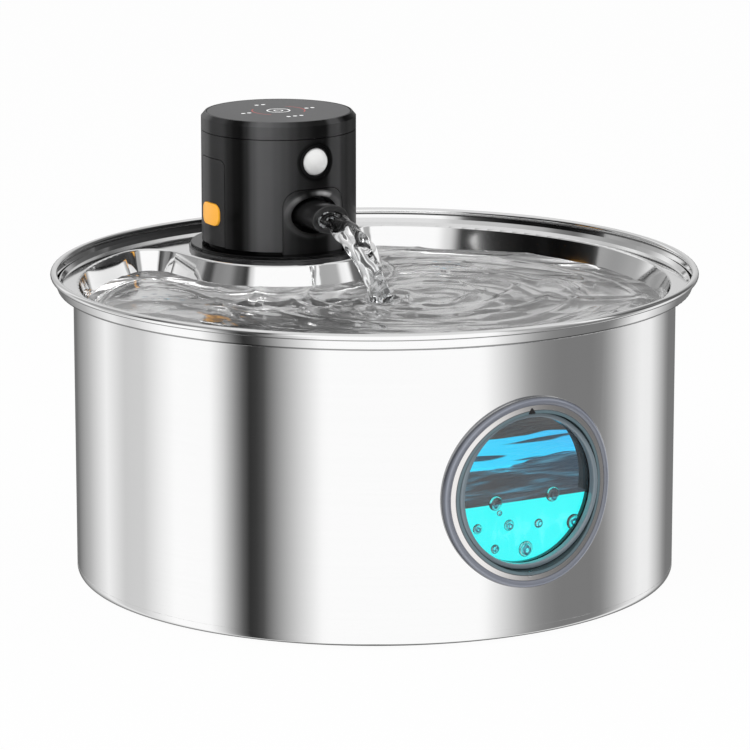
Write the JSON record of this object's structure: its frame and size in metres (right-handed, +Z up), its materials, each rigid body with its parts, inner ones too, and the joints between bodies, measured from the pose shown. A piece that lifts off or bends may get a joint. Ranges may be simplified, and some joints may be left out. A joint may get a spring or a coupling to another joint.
{
  "type": "pet water fountain",
  "caption": "Round polished steel pet water fountain with a drinking tray, a level window in its side and a lift-off battery pump unit whose spout pours a stream into the tray.",
  "frame": {"origin": "on the bowl's axis, on the surface that the pads stand on", "axes": "+Z up along the bowl's axis; the window and the spout face -Y; the pump unit stands towards +Y; +X is right when seen from the front"},
  "size_m": [0.2796, 0.2796, 0.1904],
  "materials": {
    "bowl_steel": "polished stainless steel",
    "tray_steel": "satin-polished stainless steel",
    "pad_rubber": "matt",
    "gasket_rubber": "smooth grey silicone",
    "frame_plastic": "smooth grey",
    "pane_clear": "clear polycarbonate",
    "clear_water": "clear water",
    "lit_water": "water lit blue from inside",
    "ring_plastic": "smooth grey",
    "washer_rubber": "matt",
    "nut_plastic": "moulded",
    "seal_rubber": "smooth",
    "base_black": "gloss",
    "head_black": "satin gloss",
    "latch_black": "satin gloss",
    "button_amber": "smooth",
    "touch_black": "satin glass-look",
    "lens_white": "translucent white",
    "bezel_black": "gloss",
    "spout_black": "satin",
    "pipe_plastic": "moulded",
    "pump_plastic": "moulded",
    "impeller_plastic": "moulded",
    "magnet_ferrite": "ground ferrite",
    "shaft_steel": "ground",
    "core_steel": "laminated",
    "copper": "enamelled wire",
    "lead_jacket": "smooth jacket",
    "contact_brass": "plated",
    "screw_steel": "plated",
    "spring_steel": "bright wire",
    "filter_plastic": "moulded",
    "foam": "open foam",
    "carbon_case": "moulded",
    "chassis_plastic": "moulded",
    "board_green": "coated laminate",
    "battery_wrap": "shrink wrap",
    "lamp_clear": "clear",
    "sensor_can": "plain",
    "port_steel": "plated",
    "plug_rubber": "matt"
  },
  "bodies": {
    "reservoir": {"bowl": "bowl_steel", "anti_slip_pads": "pad_rubber", "window_gasket": "gasket_rubber", "window_frame": "frame_plastic", "window_pane": "pane_clear", "window_retaining_ring": "ring_plastic", "window_saddle_washer": "washer_rubber", "window_nut": "nut_plastic"},
    "drinking_tray": {"tray": "tray_steel"},
    "pump_module": {"flange_seal": "seal_rubber", "pump_base": "base_black", "base_contacts": "contact_brass", "pump_lead": "lead_jacket", "outlet_pipe": "pipe_plastic", "spout_nozzle": "spout_black", "spout_surround": "spout_black", "pump_housing": "pump_plastic", "volute_cover": "pump_plastic", "volute_screws": "screw_steel", "motor_cap": "pump_plastic", "stator_core": "core_steel", "stator_windings": "copper", "pump_shaft": "shaft_steel", "shaft_bushes": "seal_rubber"},
    "rotor": {"impeller": "impeller_plastic", "rotor_magnet": "magnet_ferrite"},
    "filter": {"filter_basket": "filter_plastic", "filter_foam": "foam", "carbon_cartridge": "carbon_case"},
    "control_head": {"head_housing": "head_black", "head_lid": "head_black", "lid_seal": "seal_rubber", "touch_panel": "touch_black", "touch_board": "board_green", "status_lamps": "lamp_clear", "head_chassis": "chassis_plastic", "chassis_seal": "seal_rubber", "chassis_screws": "screw_steel", "battery_pack": "battery_wrap", "control_board": "board_green", "board_screws": "screw_steel", "contact_pins": "contact_brass", "pir_bezel": "bezel_black", "pir_lens": "lens_white", "pir_sensor": "sensor_can", "pir_board": "board_green", "charge_port": "port_steel", "latch_panel_left": "latch_black", "latch_panel_right": "latch_black", "latch_spring_left": "spring_steel", "latch_spring_right": "spring_steel"},
    "left_button": {"release_button_left": "button_amber"},
    "right_button": {"release_button_right": "button_amber"},
    "plug": {"port_plug": "plug_rubber"}
  },
  "joints": [
    {"name": "tray_lift", "type": "slide", "parent": "reservoir", "child": "drinking_tray", "axis": [0, 0, 1], "range_m": [0, 0.14]},
    {"name": "pump_lift", "type": "slide", "parent": "drinking_tray", "child": "pump_module", "axis": [0, 0, 1], "range_m": [0, 0.125]},
    {"name": "head_lift", "type": "slide", "parent": "pump_module", "child": "control_head", "axis": [0, 0, 1], "range_m": [0, 0.045]},
    {"name": "left_button_press", "type": "slide", "parent": "control_head", "child": "left_button", "axis": [1, 0, 0], "range_m": [0, 0.0024], "stiffness_N_per_m": 450, "deforming": ["latch_spring_left"]},
    {"name": "right_button_press", "type": "slide", "parent": "control_head", "child": "right_button", "axis": [-1, 0, 0], "range_m": [0, 0.0024], "stiffness_N_per_m": 450, "deforming": ["latch_spring_right"]},
    {"name": "rotor_spin", "type": "hinge", "parent": "pump_module", "child": "rotor", "pos_m": [0, 0.0972, 0.045], "axis": [0, 0, 1], "continuous": true},
    {"name": "filter_twist", "type": "hinge", "parent": "pump_module", "child": "filter", "pos_m": [0, 0.0863, 0.12], "axis": [0, 0, 1], "range_deg": [0, 25]},
    {"name": "plug_pull", "type": "slide", "parent": "control_head", "child": "plug", "axis": [0, 1, 0], "range_m": [0, 0.012]}
  ]
}
